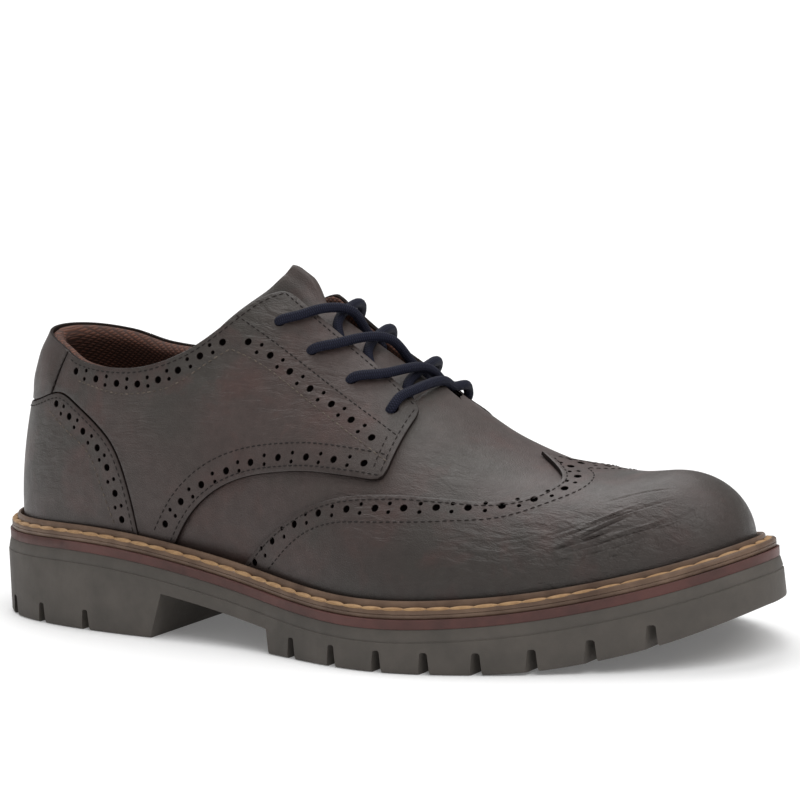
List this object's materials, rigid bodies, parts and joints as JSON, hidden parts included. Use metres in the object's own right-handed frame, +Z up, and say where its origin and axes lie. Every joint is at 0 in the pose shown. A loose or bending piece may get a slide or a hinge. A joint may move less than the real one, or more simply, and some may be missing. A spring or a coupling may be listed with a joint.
{
  "type": "brogue shoe",
  "caption": "Lace-up brogue derby shoe for the right foot, with a perforated wing cap, a storm welt and a lugged rubber sole.",
  "frame": {"origin": "Centre of the sole's bounding box on the floor it stands on.", "axes": "+X runs from heel to toe, +Y points to the wearer's left, which is the inner side of this right foot, +Z up."},
  "size_m": [0.3084, 0.1175, 0.1218],
  "materials": {
    "upper_leather": "satin, fine grain",
    "overlay_leather": "satin, fine grain",
    "sole_rubber": "matte",
    "midsole_burgundy": "matte",
    "welt_brown": "satin",
    "insole_fabric": "matte knit",
    "lace_navy": "woven"
  },
  "bodies": {
    "root": {"outsole": "sole_rubber", "midsole": "midsole_burgundy", "welt": "welt_brown", "insole": "insole_fabric", "upper": "upper_leather", "wing_cap": "overlay_leather", "quarter_lateral": "overlay_leather", "quarter_medial": "overlay_leather", "heel_counter": "overlay_leather", "heel_tab": "overlay_leather", "tongue": "overlay_leather", "lace_cross_1": "lace_navy", "lace_cross_2": "lace_navy", "lace_cross_3": "lace_navy", "lace_bar": "lace_navy"}
  },
  "joints": []
}
